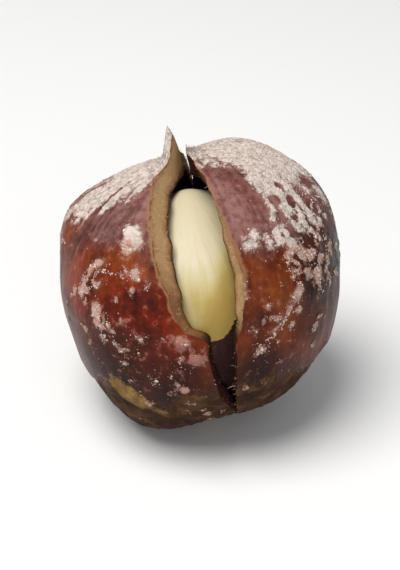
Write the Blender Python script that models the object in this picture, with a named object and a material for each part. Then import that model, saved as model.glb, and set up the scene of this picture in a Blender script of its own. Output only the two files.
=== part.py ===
"""A hazelnut in its shell, split open along its seam, with the kernel lying loose inside.

Both pieces are described about the nut's own axis, with the base at -Z, the tip at +Z and the
split facing -Y. An empty carries that axis and leans it, and the nut rests on a small flat where
its rounded base meets the ground. The ground is the plane Z = 0. Lengths are in metres.
"""

import math

import bmesh
import bpy
from mathutils import Euler, Vector

MM = 0.001

# The shell's body: a round nut, a little flattened front to back, drawn up to a small sharp tip.
# A falloff is the power that keeps a change close to its own pole.
BODY_RADIUS = 8.95 * MM
FRONT_TO_BACK = 0.975
BASE_FULLNESS = 0.95 * MM
FULLNESS_FALLOFF = 1.5
BASE_FLATTENING = 0.60 * MM
FLATTENING_FALLOFF = 8
SIDE_LOBES = 3
LOBE_DEPTH = 0.010
LOBE_TURN = 0.7
SKEW = 0.06
TIP_HEIGHT = 2.10 * MM
TIP_ANGLE = math.radians(2.7)
TIP_SIDE = math.radians(-3.6)
TIP_FRONT = math.radians(2)
TIP_SHARPNESS = 1.5

# Where the body is fuller or flatter than round: the turn from the front and the rise above the
# middle of each place's centre, its spread, all in degrees, and its height.
BULGES = (
    (-96, 36, 17, 0.95 * MM),
    (-135, 34, 22, 0.60 * MM),
    (103, 36, 20, 0.85 * MM),
    (125, 63, 18, 0.75 * MM),
    (-74, -18, 22, -0.50 * MM),
    (-42, -54, 17, 0.45 * MM),
    (8, -66, 17, -0.50 * MM),
    (180, 75, 14, -0.25 * MM),
)

# The wall, thicker under the tip and over the base. Only a share of a flatter place shows inside.
WALL = 1.15 * MM
WALL_ADDED_AT_TIP = 0.15 * MM
WALL_TIP_FALLOFF = 6
WALL_ADDED_AT_BASE = 0.20 * MM
WALL_BASE_FALLOFF = 4
FLATTER_INSIDE = 0.3

# The wide round scar on the base, where the husk held the nut, sunk a little below the shell.
SCAR_ANGLE = math.radians(61)
SCAR_EDGE = math.radians(5)
SCAR_WAVES = ((math.radians(2.2), 5, 0.6), (math.radians(1.1), 9, 2.0))
SCAR_SINK = 0.16 * MM
SCAR_RIM = 0.07 * MM

# The split, by the angle from the tip towards the front, in degrees: how far apart the two lips
# stand, how far to the right of the seam the middle of the split lies, and how much further in
# the inner edges of the left and the right lip reach, as shares of the gap. A share below 0 is
# an undercut.
SPLIT_BACK_END = -55
SPLIT_FRONT_END = 140
SPLIT = (
    (SPLIT_BACK_END, 0.0 * MM, 0.0 * MM, 0.23, 0.0),
    (-35, 0.35 * MM, -0.05 * MM, 0.23, 0.0),
    (-15, 0.45 * MM, -0.05 * MM, 0.23, -0.05),
    (-3, 0.5 * MM, -0.05 * MM, 0.30, -0.10),
    (5, 0.95 * MM, -0.28 * MM, 0.34, -0.14),
    (12, 2.3 * MM, -0.5 * MM, 0.36, -0.14),
    (20, 3.1 * MM, -0.5 * MM, 0.32, -0.14),
    (32, 3.9 * MM, -0.32 * MM, 0.28, -0.08),
    (47, 4.5 * MM, 0.03 * MM, 0.25, 0.04),
    (60, 4.85 * MM, 0.54 * MM, 0.21, 0.11),
    (76, 4.45 * MM, 1.02 * MM, 0.14, 0.14),
    (85, 3.62 * MM, 1.19 * MM, 0.10, 0.14),
    (88, 2.95 * MM, 1.47 * MM, 0.06, 0.14),
    (91, 2.35 * MM, 1.63 * MM, 0.06, 0.14),
    (95, 1.9 * MM, 1.65 * MM, 0.08, 0.12),
    (106, 1.6 * MM, 1.5 * MM, 0.10, 0.12),
    (120, 1.05 * MM, 1.62 * MM, 0.10, 0.12),
    (132, 0.45 * MM, 1.78 * MM, 0.10, 0.12),
    (SPLIT_FRONT_END, 0.0 * MM, 1.9 * MM, 0.10, 0.12),
    (215, 0.0 * MM, 0.0 * MM, 0.10, 0.12),
    (SPLIT_BACK_END + 360, 0.0 * MM, 0.0 * MM, 0.23, 0.0),
)

# The waves of the torn edges: height, number in a full turn, and start.
TEAR_WAVES = ((0.05 * MM, 17.0, 0.4), (0.035 * MM, 31.0, 1.9))

# The halves have sprung apart: this share of the gap is movement, and the rest is lost wood.
# The left half has dropped as well, by its own share of the gap.
SPREAD_SHARE = 0.45
SIDE_SPREAD = 0.35 * MM
LEFT_DROP = 0.20

# The kernel: round, with a short point towards the shell's tip and broad shallow furrows.
KERNEL_RADIUS = 6.95 * MM
KERNEL_TIP_HEIGHT = 0.80 * MM
KERNEL_TIP_ANGLE = math.radians(17)
KERNEL_TIP_SHARPNESS = 1.3
KERNEL_BASE_FLATTENING = 0.05
KERNEL_FLATTENING_FALLOFF = 4
KERNEL_FURROWS = 5
KERNEL_FURROW_DEPTH = 0.22 * MM
KERNEL_CENTRE = Vector((0.1, -0.24, -0.84)) * MM
KERNEL_TURN = Euler((math.radians(4), math.radians(-3), math.radians(20)))

# How the nut lies: its tip leans back and to the left.
LEAN_BACK = math.radians(12.7)
LEAN_LEFT = math.radians(6)
FLAT_DEPTH = 0.45 * MM
CUTTER_HALF_SIDE = 14 * MM
CUTTER_DEPTH = 4 * MM

# The finishes.
SHELL_COLOUR = (0.21, 0.055, 0.030)
SHELL_ROUGHNESS = 0.42
KERNEL_COLOUR = (0.78, 0.64, 0.33)
KERNEL_ROUGHNESS = 0.45
SHARP_EDGE = math.radians(50)

# The net of points: closer along the split and round the tip than over the plain back. Each run
# has its first and last angle in degrees, and its number of steps.
NET_RUNS = (
    (SPLIT_BACK_END, -15, 10),
    (-15, 15, 12),
    (15, SPLIT_FRONT_END, 30),
    (SPLIT_FRONT_END, SPLIT_BACK_END + 360, 22),
)
OUTER_RINGS = 12
INNER_RINGS = 8
RING_CROWDING = 1.5
KERNEL_SEGMENTS = 40
KERNEL_RINGS = 22


def smooth_step(value):
    """0 below 0, 1 above 1, and a smooth rise between."""
    value = min(1.0, max(0.0, value))
    return value * value * (3 - 2 * value)


def through_stations(stations, angle, column):
    """A smooth curve through one column of the stations, read at an angle in degrees."""
    last = len(stations) - 1
    n = max(i for i in range(last) if stations[i][0] <= angle or i == 0)
    before, after = stations[max(n - 1, 0)], stations[min(n + 2, last)]
    start, end = stations[n], stations[n + 1]
    span = end[0] - start[0]
    t = (angle - start[0]) / span
    slope_start = (end[column] - before[column]) / (end[0] - before[0]) * span
    slope_end = (after[column] - start[column]) / (after[0] - start[0]) * span
    return (
        (2 * t**3 - 3 * t**2 + 1) * start[column]
        + (t**3 - 2 * t**2 + t) * slope_start
        + (3 * t**2 - 2 * t**3) * end[column]
        + (t**3 - t**2) * slope_end
    )


def gap_at(around):
    """How far apart the lips stand at an angle round the seam. It is 0 where the shell is whole."""
    angle = math.degrees(around)
    if not SPLIT_BACK_END < angle < SPLIT_FRONT_END:
        return 0.0
    return max(0.0, through_stations(SPLIT, angle, 1))


def seam_offset(around):
    """How far right of the plain seam the split's middle lies, with the waves of the tear."""
    middle = through_stations(SPLIT, math.degrees(around), 2)
    torn = sum(height * math.sin(count * around + phase) for height, count, phase in TEAR_WAVES)
    return middle + torn * smooth_step(gap_at(around) / MM)


def toward(turn, rise):
    """The direction at a turn from the front and a rise above the middle, both in degrees."""
    turn, rise = math.radians(turn), math.radians(rise)
    level = math.cos(rise)
    return Vector((math.sin(turn) * level, -math.cos(turn) * level, math.sin(rise)))


def bulge_at(direction):
    """How much the body is fuller, or flatter where it is negative, than a round one."""
    return sum(
        height * math.exp(-((math.degrees(direction.angle(toward(turn, rise))) / spread) ** 2))
        for turn, rise, spread, height in BULGES
    )


def round_radius(direction):
    """The body's plain round form."""
    down = max(-direction.z, 0.0)
    level = math.hypot(direction.x, direction.y)
    turn = math.atan2(direction.x, -direction.y)
    lobes = LOBE_DEPTH * level**2 * math.cos(SIDE_LOBES * turn + LOBE_TURN)
    skew = SKEW * direction.x * direction.z
    base = BASE_FULLNESS * down**FULLNESS_FALLOFF - BASE_FLATTENING * down**FLATTENING_FALLOFF
    return BODY_RADIUS * (1 + lobes + skew) + base


def outer_radius(direction):
    """The shell's outer surface, with the sharp tip and the sunk scar with its low rim."""
    from_tip = direction.angle(Vector((math.tan(TIP_SIDE), -math.tan(TIP_FRONT), 1)))
    tip = TIP_HEIGHT * math.exp(-((from_tip / TIP_ANGLE) ** TIP_SHARPNESS))
    turn = math.atan2(direction.x, -direction.y)
    edge = SCAR_ANGLE + sum(
        height * math.sin(count * turn + phase) for height, count, phase in SCAR_WAVES
    )
    inside = (edge - direction.angle(Vector((0, 0, -1)))) / SCAR_EDGE
    sink = SCAR_SINK * smooth_step(inside)
    rim = SCAR_RIM * math.exp(-(inside**2))
    return round_radius(direction) + bulge_at(direction) + tip - sink + rim


def inner_radius(direction):
    """The wall of the hollow that the kernel lies in."""
    up, down = max(direction.z, 0.0), max(-direction.z, 0.0)
    at_tip = WALL_ADDED_AT_TIP * up**WALL_TIP_FALLOFF
    at_base = WALL_ADDED_AT_BASE * down**WALL_BASE_FALLOFF
    bulge = bulge_at(direction)
    bulge = max(bulge, FLATTER_INSIDE * bulge)
    return round_radius(direction) + bulge - WALL - at_tip - at_base


def shell_point(side, around, latitude, radius_at):
    """A point of the right half, side 1, or the left, side -1. The angle around runs round the
    seam from the tip towards the front, and the latitude runs from the seam to that side."""
    level = math.cos(latitude)
    direction = Vector(
        (side * math.sin(latitude), -math.sin(around) * level, math.cos(around) * level)
    )
    point = direction * radius_at(direction)
    lip_spread = SPREAD_SHARE * gap_at(around) / 2
    point.x += side * (SIDE_SPREAD + (lip_spread - SIDE_SPREAD) * level**2)
    if side < 0:
        point.z -= LEFT_DROP * gap_at(around) * level**2
    point.y *= FRONT_TO_BACK
    return point


def bevel_at(side, around):
    """How much further in the inner edge of one lip reaches, as a share of the gap."""
    return through_stations(SPLIT, math.degrees(around), 4 if side > 0 else 3)


def lip_latitude(side, around, radius_at, bevel):
    """Where one half's skin begins at the split. The bevel brings the inner lips closer."""
    gap = gap_at(around)
    on_seam = Vector((0, -math.sin(around), math.cos(around)))
    from_seam = side * seam_offset(around) + gap * (0.5 - bevel - SPREAD_SHARE / 2)
    return math.asin(from_seam / radius_at(on_seam))


def net_angles():
    """The angles round the seam that the net has points at, from the split's back end round."""
    angles = []
    for start, end, steps in NET_RUNS:
        angles += [math.radians(start + (end - start) * n / steps) for n in range(steps)]
    return angles


def add_skin(mesh, radius_at, rings, bevelled):
    """Both halves of one surface of the shell. Returns the points along each half's lip."""
    angles = net_angles()
    lips = {}
    for side in (1, -1):
        pole = mesh.verts.new(shell_point(side, 0.0, math.pi / 2, radius_at))
        rows = []
        for around in angles:
            bevel = bevel_at(side, around) if bevelled else 0.0
            start = lip_latitude(side, around, radius_at, bevel)
            whole = gap_at(around) == 0
            row = [lips[-side][len(rows)]] if whole and -side in lips else []
            for n in range(len(row), rings):
                latitude = start + (math.pi / 2 - start) * (n / rings) ** RING_CROWDING
                row.append(mesh.verts.new(shell_point(side, around, latitude, radius_at)))
            rows.append(row)
        for row, after in zip(rows, rows[1:] + rows[:1]):
            for n in range(rings - 1):
                mesh.faces.new((row[n], row[n + 1], after[n + 1], after[n]))
            mesh.faces.new((row[-1], pole, after[-1]))
        lips[side] = [row[0] for row in rows]
    return lips


def make_shell():
    """The shell: outer and inner skins, joined by the broken faces along the two lips."""
    mesh = bmesh.new()
    outer = add_skin(mesh, outer_radius, OUTER_RINGS, bevelled=False)
    inner = add_skin(mesh, inner_radius, INNER_RINGS, bevelled=True)
    angles = net_angles()
    for n, around in enumerate(angles):
        m = (n + 1) % len(angles)
        if gap_at(around) == 0 and gap_at(angles[m]) == 0:
            continue
        for side in (1, -1):
            mesh.faces.new((outer[side][n], outer[side][m], inner[side][m], inner[side][n]))
    return finish_mesh(mesh, "shell")


def kernel_radius(direction):
    """The kernel's surface: a blunt point above, a flatter base, and broad furrows between."""
    up = direction.angle(Vector((0, 0, 1)))
    level = math.hypot(direction.x, direction.y)
    turn = math.atan2(direction.y, direction.x)
    tip = KERNEL_TIP_HEIGHT * math.exp(-((up / KERNEL_TIP_ANGLE) ** KERNEL_TIP_SHARPNESS))
    down = max(-direction.z, 0.0)
    flattening = KERNEL_BASE_FLATTENING * down**KERNEL_FLATTENING_FALLOFF
    furrow = KERNEL_FURROW_DEPTH * level**2 * (0.5 + 0.5 * math.cos(KERNEL_FURROWS * turn)) ** 2
    return KERNEL_RADIUS * (1 - flattening) + tip - furrow


def make_kernel():
    """The kernel, one solid seed."""
    mesh = bmesh.new()
    bmesh.ops.create_uvsphere(
        mesh, u_segments=KERNEL_SEGMENTS, v_segments=KERNEL_RINGS, radius=KERNEL_RADIUS
    )
    for vert in mesh.verts:
        direction = vert.co.normalized()
        vert.co = direction * kernel_radius(direction)
    return finish_mesh(mesh, "kernel")


def finish_mesh(mesh, name):
    """Turns a bmesh into a smooth-shaded object in the scene."""
    bmesh.ops.recalc_face_normals(mesh, faces=mesh.faces)
    data = bpy.data.meshes.new(name)
    mesh.to_mesh(data)
    mesh.free()
    data.shade_smooth()
    data.set_sharp_from_angle(angle=SHARP_EDGE)
    piece = bpy.data.objects.new(name, data)
    bpy.context.collection.objects.link(piece)
    return piece


def paint(piece, colour, roughness):
    """Gives a piece its own material."""
    material = bpy.data.materials.new(piece.name)
    material.use_nodes = True
    shader = material.node_tree.nodes["Principled BSDF"]
    shader.inputs["Base Color"].default_value = (*colour, 1.0)
    shader.inputs["Roughness"].default_value = roughness
    shader.inputs["Metallic"].default_value = 0.0
    piece.data.materials.append(material)


def stand_on_ground(axis, shell):
    """Moves the leaning nut over the origin, sunk into the ground by the depth of its flat."""
    bpy.context.view_layer.update()
    points = [shell.matrix_world @ vert.co for vert in shell.data.vertices]
    low = Vector([min(point[n] for point in points) for n in range(3)])
    high = Vector([max(point[n] for point in points) for n in range(3)])
    middle = (low + high) / 2
    axis.location -= Vector((middle.x, middle.y, low.z + FLAT_DEPTH))


def cut_flat(shell):
    """Cuts the resting flat: everything below the ground comes off."""
    mesh = bmesh.new()
    bmesh.ops.create_cube(mesh, size=1.0)
    for vert in mesh.verts:
        vert.co.x *= 2 * CUTTER_HALF_SIDE
        vert.co.y *= 2 * CUTTER_HALF_SIDE
        vert.co.z *= CUTTER_DEPTH
    ground = finish_mesh(mesh, "ground_cutter")
    ground.location.z = -CUTTER_DEPTH / 2
    ground.hide_render = True
    ground.display_type = "WIRE"
    cut = shell.modifiers.new("resting flat", "BOOLEAN")
    cut.operation = "DIFFERENCE"
    cut.solver = "EXACT"
    cut.object = ground


def main():
    for piece in list(bpy.data.objects):
        bpy.data.objects.remove(piece)
    axis = bpy.data.objects.new("nut_axis", None)
    bpy.context.collection.objects.link(axis)
    axis.rotation_euler = Euler((-LEAN_BACK, -LEAN_LEFT, 0))

    shell = make_shell()
    shell.parent = axis
    paint(shell, SHELL_COLOUR, SHELL_ROUGHNESS)

    kernel = make_kernel()
    kernel.parent = axis
    kernel.location = KERNEL_CENTRE
    kernel.rotation_euler = KERNEL_TURN
    paint(kernel, KERNEL_COLOUR, KERNEL_ROUGHNESS)

    stand_on_ground(axis, shell)
    cut_flat(shell)


main()
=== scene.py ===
import math
import random

import bmesh
import bpy
from mathutils import Euler, Matrix, Vector, noise
from mathutils.bvhtree import BVHTree


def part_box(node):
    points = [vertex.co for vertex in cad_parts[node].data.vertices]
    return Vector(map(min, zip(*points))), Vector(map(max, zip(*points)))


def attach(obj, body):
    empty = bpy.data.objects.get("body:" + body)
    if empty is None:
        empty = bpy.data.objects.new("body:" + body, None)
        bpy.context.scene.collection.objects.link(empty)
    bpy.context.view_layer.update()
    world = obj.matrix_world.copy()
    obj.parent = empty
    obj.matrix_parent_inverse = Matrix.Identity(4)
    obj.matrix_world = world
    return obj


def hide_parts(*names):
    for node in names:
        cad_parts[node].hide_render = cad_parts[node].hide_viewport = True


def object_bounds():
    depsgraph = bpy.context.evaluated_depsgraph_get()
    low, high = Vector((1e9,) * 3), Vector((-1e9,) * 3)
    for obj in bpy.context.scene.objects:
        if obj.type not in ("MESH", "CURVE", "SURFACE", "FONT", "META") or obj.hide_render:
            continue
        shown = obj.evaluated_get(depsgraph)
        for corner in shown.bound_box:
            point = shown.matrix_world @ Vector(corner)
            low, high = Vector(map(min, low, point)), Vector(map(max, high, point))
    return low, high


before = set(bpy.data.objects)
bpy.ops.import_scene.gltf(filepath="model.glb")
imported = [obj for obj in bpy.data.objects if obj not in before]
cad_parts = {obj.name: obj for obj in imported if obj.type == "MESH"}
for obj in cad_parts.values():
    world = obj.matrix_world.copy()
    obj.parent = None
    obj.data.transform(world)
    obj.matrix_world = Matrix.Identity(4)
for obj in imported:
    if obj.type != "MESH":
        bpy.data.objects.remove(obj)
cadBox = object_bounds()
mm = 0.001

nut = {  # the shell's plain form about its own axis: base at -Z, tip at +Z, split facing -Y
    "bodyRadius": 8.95,  # lengths here are in mm
    "frontToBack": 0.975,
    "baseFullness": 0.95,
    "fullnessFalloff": 1.5,
    "baseFlattening": 0.60,
    "flatteningFalloff": 8,
    "sideLobes": 3,
    "lobeDepth": 0.010,
    "lobeTurn": 0.7,
    "skew": 0.06,
    "tipHeight": 2.10,
    "tipAngle": 2.7,
    "tipSide": -3.6,
    "tipFront": 2,
    "tipSharpness": 1.5,
    "bulges": (  # turn from the front, rise above the middle, spread, height
        (-96, 36, 17, 0.95), (-135, 34, 22, 0.60), (103, 36, 20, 0.85), (125, 63, 18, 0.75),
        (-74, -18, 22, -0.50), (-42, -54, 17, 0.45), (8, -66, 17, -0.50), (180, 75, 14, -0.25),
    ),
    "scarAngle": 61,
    "scarEdge": 5,
    "scarWaves": ((2.2, 5, 0.6), (1.1, 9, 2.0)),  # height in degrees, how many round, start
    "scarScallops": (0.9, 23, 2.0, 3),  # height, how many round, how unevenly and how often
    "scarSink": 0.16,
    "scarRim": 0.07,
    "wall": 1.15,
    "wallAtTip": 0.15,
    "wallTipFalloff": 6,
    "wallAtBase": 0.20,
    "wallBaseFalloff": 4,
    "flatterInside": 0.3,
    "leanBack": 12.7,
    "leanLeft": 6,
    "flatDepth": 0.45,
}
split = {  # the opening along the seam, by the angle from the tip towards the front
    "backEnd": -55,
    "frontEnd": 140,
    "stations": (  # angle, gap between the lips, how far right its middle lies,
        # and how much further in the left and the right inner edge reach, as shares of the gap
        (-55, 0.0, 0.0, 0.23, 0.0), (-35, 0.35, -0.05, 0.23, 0.0), (-15, 0.45, -0.05, 0.23, -0.05),
        (-3, 0.5, -0.05, 0.30, -0.10), (5, 0.95, -0.28, 0.34, -0.14), (12, 2.3, -0.5, 0.36, -0.14),
        (20, 3.1, -0.5, 0.32, -0.14), (32, 3.9, -0.32, 0.28, -0.08), (47, 4.5, 0.03, 0.25, 0.04),
        (60, 4.85, 0.54, 0.21, 0.11), (76, 4.45, 1.02, 0.14, 0.14), (85, 3.62, 1.19, 0.10, 0.14),
        (88, 2.95, 1.47, 0.06, 0.14), (91, 2.35, 1.63, 0.06, 0.14), (95, 1.9, 1.65, 0.08, 0.12),
        (106, 1.6, 1.5, 0.10, 0.12), (120, 1.05, 1.62, 0.10, 0.12), (132, 0.45, 1.78, 0.10, 0.12),
        (140, 0.0, 1.9, 0.10, 0.12), (215, 0.0, 0.0, 0.10, 0.12), (305, 0.0, 0.0, 0.23, 0.0),
    ),
    "tearWaves": ((0.05, 17.0, 0.4), (0.035, 31.0, 1.9)),  # height, waves in a turn, start
    "spreadShare": 0.45,  # how much of the gap is movement, the rest is lost wood
    "sideSpread": 0.35,
    "leftDrop": 0.20,
    "chips": ((0.055, 0.9), (0.040, 0.38), (0.022, 0.16)),  # height and length of the bites
    "innerChips": 0.45,  # how much of them shows on the inner edges
    "innerSeed": 50.0,
    "tanBroad": (0.35, 40, 60, 70, 84),  # share, then the angles where it starts, is full, fades, ends
    "tanGone": (78, 92),
    # painted shade on the broken faces, low in the split and right of the tip
    "wallShadeLeft": ((0.42, 42, 78), (0.58, 84, 95)),  # share, and the angles between which it comes
    "wallShadeRight": ((8, 38), (86, 98)),  # clears between the first two angles, comes between the others
    "tears": ((0.55, 0.060), (0.22, 0.035)),  # size and height of the broken faces' roughness
    "ridge": (0.030, 0.16, 0.10),  # height, place and spread across the wall
    "hollow": 0.035,  # towards the inner edge
}
weave = {  # how finely the shell is woven
    "runs": ((-55, 140, 400), (140, 305, 168)),
    "outerRings": 84,
    "innerRings": 17,
    "crowding": 1.35,
    "wallSteps": 9,
}
skin, brokenFace, lining = 0, 1, 2  # the shell's finishes, in slot order

backEnd, frontEnd = split["backEnd"], split["frontEnd"]
nutTurn = Euler((-math.radians(nut["leanBack"]), -math.radians(nut["leanLeft"]), 0)).to_matrix()
tipAside, tipForward = (math.tan(math.radians(nut[name])) for name in ("tipSide", "tipFront"))
tipUp = Vector((tipAside, -tipForward, 1)).normalized()


def ease(value, low=0.0, high=1.0):
    t = min(1.0, max(0.0, (value - low) / (high - low)))
    return t * t * (3 - 2 * t)


def bell(distance, width):
    return math.exp(-((distance / width) ** 2))


def wobble(place, size, seed=0.0):  # soft noise from -1 to 1; place and size are in mm
    return noise.noise(place / size + Vector((seed, 7.3 * seed, -3.1 * seed)))


def alongStations(angle, column):
    stations = split["stations"]
    last = len(stations) - 1
    n = max(i for i in range(last) if stations[i][0] <= angle or i == 0)
    before, after = stations[max(n - 1, 0)], stations[min(n + 2, last)]
    start, end = stations[n], stations[n + 1]
    span = end[0] - start[0]
    t = (angle - start[0]) / span
    leave = (end[column] - before[column]) / (end[0] - before[0]) * span
    arrive = (after[column] - start[column]) / (after[0] - start[0]) * span
    return (
        (2 * t**3 - 3 * t**2 + 1) * start[column]
        + (t**3 - 2 * t**2 + t) * leave
        + (3 * t**2 - 2 * t**3) * end[column]
        + (t**3 - t**2) * arrive
    )


def gapAt(angle):
    if not backEnd < angle < frontEnd:
        return 0.0
    return max(0.0, alongStations(angle, 1))


def seamOffset(angle):
    around = math.radians(angle)
    torn = sum(height * math.sin(waves * around + start) for height, waves, start in split["tearWaves"])
    return alongStations(angle, 2) + torn * ease(gapAt(angle))


def fromTurnRise(turn, rise):
    t, r = math.radians(turn), math.radians(rise)
    return Vector((math.sin(t) * math.cos(r), -math.cos(t) * math.cos(r), math.sin(r)))


bulges = [(fromTurnRise(turn, rise), spread, height) for turn, rise, spread, height in nut["bulges"]]


def bulgeAt(d):
    return sum(height * bell(math.degrees(d.angle(middle)), spread) for middle, spread, height in bulges)


def turnOf(d):  # how far round from the front, in radians
    return math.atan2(d.x, -d.y)


def grainOf(d):  # a place that is drawn out along the nut, for stripes and fibres
    turn = turnOf(d)
    return Vector((math.sin(turn), math.cos(turn), 0.13 * d.z))


def inHalf(side, angle, latitude):  # the direction at this angle round the seam, and this far in
    around, level = math.radians(angle), math.cos(latitude)
    return Vector((side * math.sin(latitude), -math.sin(around) * level, math.cos(around) * level))


def roundRadius(d):  # the nut's plain round form in a direction from its middle, in mm
    down = max(-d.z, 0.0)
    level = d.x * d.x + d.y * d.y
    lobes = nut["lobeDepth"] * level * math.cos(nut["sideLobes"] * turnOf(d) + nut["lobeTurn"])
    base = nut["baseFullness"] * down ** nut["fullnessFalloff"]
    base -= nut["baseFlattening"] * down ** nut["flatteningFalloff"]
    return nut["bodyRadius"] * (1 + lobes + nut["skew"] * d.x * d.z) + base


def plainRadius(d):
    return roundRadius(d) + bulgeAt(d)


def liningRadius(d):
    up, down = max(d.z, 0.0), max(-d.z, 0.0)
    bulge = bulgeAt(d)
    bulge = max(bulge, nut["flatterInside"] * bulge)
    wall = nut["wall"] + nut["wallAtTip"] * up ** nut["wallTipFalloff"]
    return roundRadius(d) + bulge - wall - nut["wallAtBase"] * down ** nut["wallBaseFalloff"]


salt = {  # the dried salt, and where it lies
    "cap": (0.50, 0.95, 0.36),  # how level the surface has to be for salt to settle, and how much
    "capDustAndSheen": (0.52, 0.90, 0.9),  # the same for the dust film, which also stands for a painted sheen on the upper faces
    "clouds": ((2.3, 1.0, 0.26), (0.95, 2.0, 0.26), (0.42, 4.0, 0.22)),  # size, seed, amount
    "streaks": ((8, 1.4, 0, 1.0), (19, 2.6, 5, 0.7)),  # how many round, and down, start, amount
    "patches": (  # turn from the front, rise above level, spread, amount
        (-101, 26, 8, 0.50), (-95, 37, 9, 0.55), (-97, 46, 9, 0.50), (-108, 56, 12, 0.50),
        (-122, 64, 12, 0.55), (-86, 34, 6, 0.30), (-80, 46, 7, 0.28), (-82, 60, 8, 0.30),
        (-118, 50, 18, 0.30), (150, 75, 16, 0.55), (116, 68, 16, 0.60), (106, 54, 13, 0.75),
        (100, 34, 8, 0.30), (75, 63, 9, 0.45), (62, 54, 9, 0.50), (48, 50, 7, 0.45),
        (72, 44, 10, 0.40), (175, 35, 18, 0.50), (-160, 5, 13, 0.38), (140, 8, 12, 0.34),
        (-128, 12, 10, 0.32), (30, 68, 13, -0.75), (32, 56, 8, -0.50), (61, 55, 2.6, -1.9),
        (70, 50, 2.6, -1.6), (53, 49, 2.0, -1.4), (63, 46, 2.2, -1.4), (82, 44, 2.8, -1.3),
        (76, 57, 2.0, -1.3), (98, 46, 2.6, -1.2), (-60, 42, 13, -0.55), (-50, 56, 10, -0.45),
    ),
    "dustSheenSpots": (  # where a thin dust film dulls the skin, its mauve partly a painted sheen
        (-66, 38, 11, 0.50), (-62, 52, 11, 0.45), (-78, 27, 8, 0.30), (34, 62, 15, 0.60),
        (52, 42, 14, 0.25), (85, 30, 12, 0.25), (170, 40, 40, 0.35),
    ),
    "drips": ((62, 50, 15, 1.05), (-92, 46, 20, 0.85), (-150, 30, 30, 0.40), (150, 35, 25, 0.40)),
    "spots": (  # turn, rise, spread, amount
        (-48, 47, 2.4, 1.10), (-44, 47.5, 2.6, 1.30), (-40, 46, 2.6, 1.30), (-36.5, 44, 2.4, 1.20),
        (-41, 40.5, 2.8, 1.10), (-46, 41.5, 2.0, 0.80), (-53, 29.5, 2.6, 0.95),
        (-56, 26, 2.0, 0.70), (-56, 21, 2.4, 0.95), (-55, 17, 2.6, 1.05), (-49, 21.5, 2.2, 0.85),
        (-47, 23.5, 1.7, 0.60), (-46, 15, 1.8, 0.70), (-43.5, 12.5, 2.6, 1.05),
        (-40.5, 8, 2.6, 1.00), (-32, 33, 2.3, 0.85), (-29.5, 31, 2.0, 0.95), (-24, 28.5, 2.0, 0.85),
        (-37, 30.5, 1.7, 0.60), (-25, 37.5, 1.5, 0.50), (-23, 7.5, 2.3, 0.95),
        (-26, -12.5, 1.8, 0.45), (-17, -11, 1.8, 0.55), (-7, -11.5, 2.3, 0.80),
        # the four spots from (-7, 9.5) to (0.5, 1) sit on the lump's lobes as painted highlights
        (-4.5, -13.5, 1.8, 0.70), (-7, 9.5, 1.2, 0.55), (-5, 8, 1.1, 0.60), (-1.5, 3, 1.2, 0.55),
        (0.5, 1, 1.1, 0.60), (32, 48, 2.3, 0.95), (29, 44.5, 2.8, 1.20), (38.5, 42, 2.6, 1.05),
        (45.5, 41, 2.3, 0.90), (44.5, 45, 2.0, 0.70), (50.5, 37, 2.8, 1.20), (47, 35, 2.0, 0.90),
        (56, 32, 2.8, 1.15), (64, 38, 2.2, 0.75), (75, 25, 2.8, 0.95), (83, 22, 2.4, 0.70),
        (57, 23, 2.9, 1.15), (52, 25, 2.0, 0.80), (44, 27, 1.8, 0.60), (44, 19, 2.9, 1.25),
        (46, 21.5, 2.0, 0.90), (38.5, 17, 1.7, 0.60), (34, 13.5, 2.2, 0.85), (30.5, 15, 1.8, 0.60),
        (22, 11.5, 1.9, 0.70), (25.5, 2, 2.7, 1.05), (20.5, 30, 1.6, 0.85), (19.5, 26, 1.7, 0.95),
        (96, 36, 3.4, 0.50), (94, 18, 3.4, 0.40),
    ),
    "flakes": (  # where small flakes lie apart from one another
        (64, 30, 17, 1.25), (48, 40, 9, 0.50), (46, 10, 14, 0.55), (-46, 18, 17, 0.40),
        (-24, -10, 18, 0.34), (-60, 5, 16, 0.25), (8, -24, 16, 0.25), (104, 12, 18, 0.40),
        (170, 15, 35, 0.60), (-140, 10, 35, 0.55),
    ),
    "flakeSize": 0.78,
    "flakeBend": (0.45, 0.30, (70.0, 80.0, 90.0)),  # size, amount, seeds
    "flakeReach": (0.30, 0.54),
    "rings": (  # turn, rise, radius in mm, start and sweep in degrees, amount
        (-49, 25, 1.0, 75, 140, 0.60), (-38, 13, 1.3, 160, 80, 0.55),
        (30, 17, 1.35, 250, 110, 0.65), (52, 33, 1.0, 20, 230, 0.45), (70, 22, 1.3, 80, 150, 0.55),
        (88, 36, 1.4, 0, 210, 0.50), (-88, 14, 1.5, 100, 160, 0.40), (-120, 30, 1.7, 30, 240, 0.55),
        (165, 50, 1.6, 10, 280, 0.5), (-175, 18, 1.9, 120, 200, 0.55),
        (130, 25, 1.5, 40, 180, 0.55),
    ),
    "ringWidth": 0.20,
    "thickness": 0.085,  # of the crust, in mm
    "clearance": 0.4,  # how far its grains keep above the ground
    "chance": (0.006, 0.95, 1.3),  # of a grain where there is no crust, and how it grows with it
    "grains": 9000,
    "grainSize": (0.035, 0.12),
    "lumps": 420,
    "lumpSize": (0.09, 0.22),
    "seed": 41,
    "dark": (0.42, 0.235, 0.175, 1),  # the loose grains' look
    "pale": (0.76, 0.67, 0.60, 1),
    "fine": 0.07,
    "gloss": 0.62,
    "bump": 0.02,
}


def facings(rows):
    return [(fromTurnRise(turn, rise), spread, amount) for turn, rise, spread, amount in rows]


saltPatches, saltDrips, saltDustSheen = (facings(salt[name]) for name in ("patches", "drips", "dustSheenSpots"))
saltSpots, saltFlakes = facings(salt["spots"]), facings(salt["flakes"])
saltRings = []
for turn, rise, radius, start, sweep, amount in salt["rings"]:
    middle = fromTurnRise(turn, rise)
    right = Vector((-middle.y, middle.x, 0)).normalized()
    saltRings.append((middle, right, middle.cross(right), radius, start, sweep, amount))


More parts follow.
